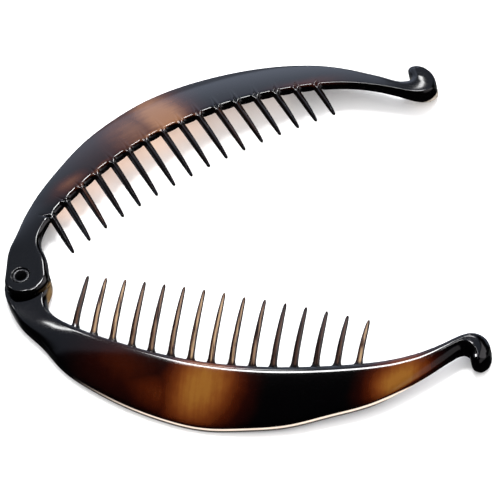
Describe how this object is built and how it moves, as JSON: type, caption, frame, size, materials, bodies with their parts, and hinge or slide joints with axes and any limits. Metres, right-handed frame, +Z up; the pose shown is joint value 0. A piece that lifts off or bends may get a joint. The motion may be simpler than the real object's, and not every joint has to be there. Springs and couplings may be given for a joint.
{
  "type": "banana hair clip",
  "caption": "Open banana hair clip: curved comb arms with slender teeth and hooked ends, turning on a hollow rivet, in glossy tortoiseshell plastic.",
  "frame": {"origin": "bottom centre of the bounding box of the open clip, on the surface that it lies on", "axes": "+X from the hinge towards the hooks, +Y towards the arm whose hinge lap is on top, +Z up from the surface that the clip lies on"},
  "size_m": [0.1434, 0.1384, 0.0151],
  "materials": {
    "tortoiseshell_plastic_upper": "glossy, dark brown and black with brown streaks",
    "tortoiseshell_plastic_lower": "glossy, dark brown with amber patches",
    "black_plastic_rivet": "glossy black"
  },
  "bodies": {
    "lower_half": {"lower_arm": "tortoiseshell_plastic_lower", "hinge_pin": "black_plastic_rivet"},
    "upper_half": {"upper_arm": "tortoiseshell_plastic_upper"}
  },
  "joints": [
    {"name": "arm_hinge", "type": "hinge", "parent": "lower_half", "child": "upper_half", "pos_m": [-0.06617, -0.00013, 0.00711], "axis": [-0.0986, 0, 0.9951], "range_deg": [-39, 115]}
  ]
}
